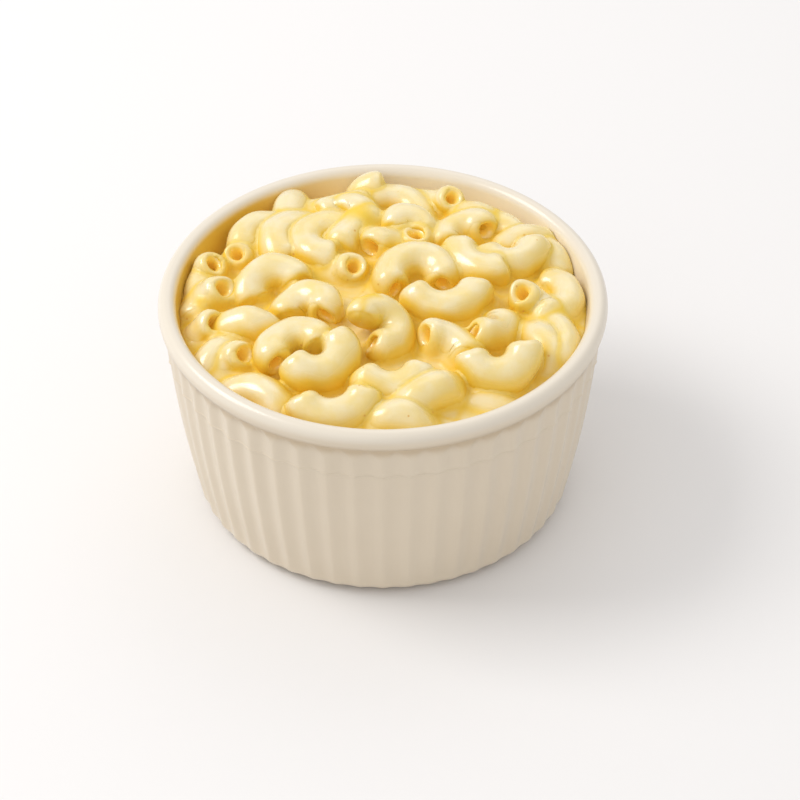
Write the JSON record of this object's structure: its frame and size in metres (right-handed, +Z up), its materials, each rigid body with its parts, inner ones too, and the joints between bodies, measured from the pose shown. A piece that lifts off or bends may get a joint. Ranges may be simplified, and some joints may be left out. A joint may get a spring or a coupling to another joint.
{
  "type": "mac and cheese in a fluted ramekin",
  "caption": "Round fluted ceramic ramekin, straight-tapered with a rounded lip, filled to the rim with a heap of elbow macaroni in pale cheese sauce.",
  "frame": {"origin": "middle of the dish's base, on the surface it stands on", "axes": "+Z up along the dish's axis of turning; -Y is the front, the side the food was seen from; +X is to the right of it"},
  "size_m": [0.105, 0.105, 0.0603],
  "materials": {
    "glazed_ceramic": "cream glazed ceramic, smooth and glossy",
    "macaroni_and_sauce": "pale yellow cooked pasta coated in a glossy cheese sauce"
  },
  "bodies": {
    "root": {"dish": "glazed_ceramic", "macaroni_heap": "macaroni_and_sauce"}
  },
  "joints": []
}
